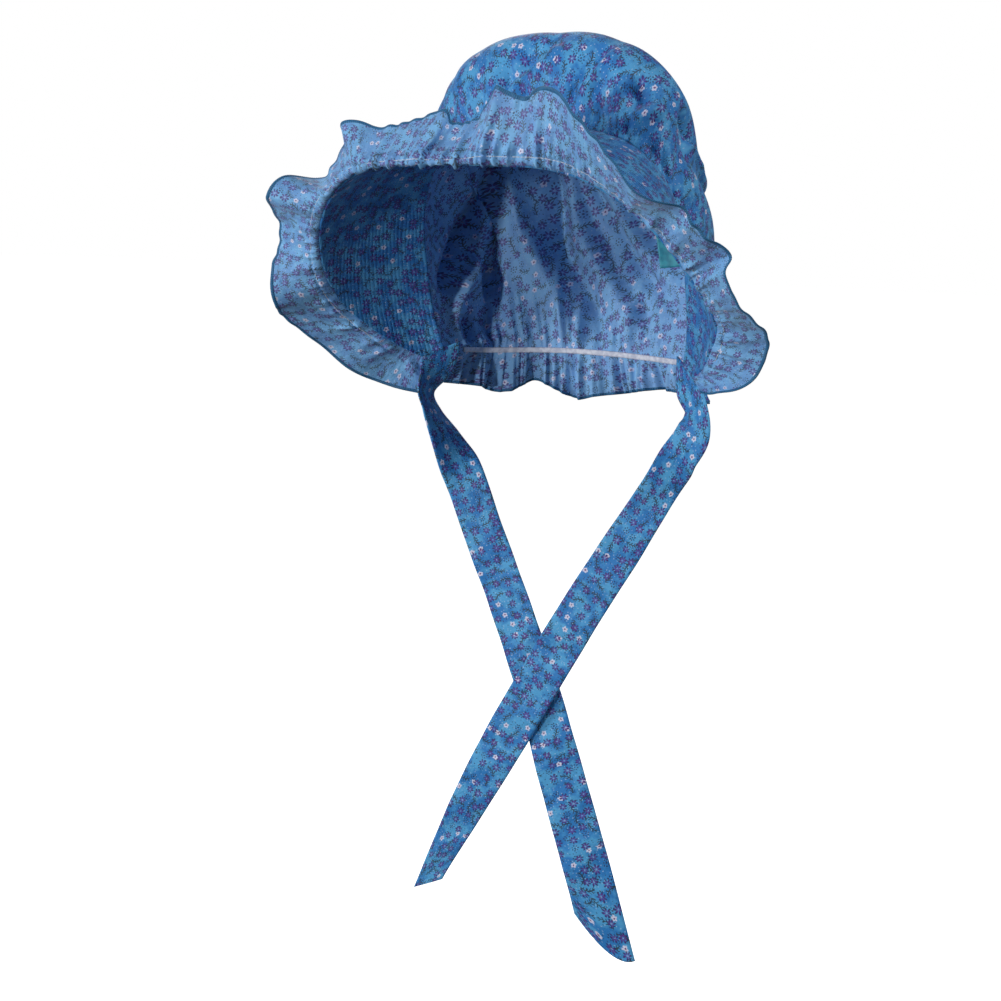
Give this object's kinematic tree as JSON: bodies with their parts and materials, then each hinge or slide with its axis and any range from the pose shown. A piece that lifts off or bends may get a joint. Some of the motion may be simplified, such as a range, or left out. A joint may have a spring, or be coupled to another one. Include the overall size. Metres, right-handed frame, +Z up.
{
  "type": "sunbonnet",
  "caption": "Child's gathered cotton sunbonnet with puffed crown, stitched stiff brim, ruffled edge, elastic nape with frill, and long flat ties, held as on a head",
  "frame": {"origin": "head seat: where the top of a head rests inside the cap, level with the top of the seam between brim and crown", "axes": "+Z up with the bonnet held as on an upright head, -Y the way the face looks, +X the wearer's left"},
  "size_m": [0.3362, 0.2241, 0.5981],
  "materials": {
    "brim_cloth": "double printed cotton, quilted in close rows",
    "ruffle_cloth": "single printed cotton, overlocked edge",
    "crown_cloth": "single printed cotton, gathered",
    "elastic_cord": "narrow white woven elastic",
    "tie_cloth": "double printed cotton, pressed flat",
    "label_tape": "plain woven tape"
  },
  "bodies": {
    "root": {"brim": "brim_cloth", "brim_ruffle": "ruffle_cloth", "crown": "crown_cloth", "neck_elastic": "elastic_cord", "tie_left": "tie_cloth", "tie_right": "tie_cloth", "label_tab": "label_tape"}
  },
  "joints": []
}
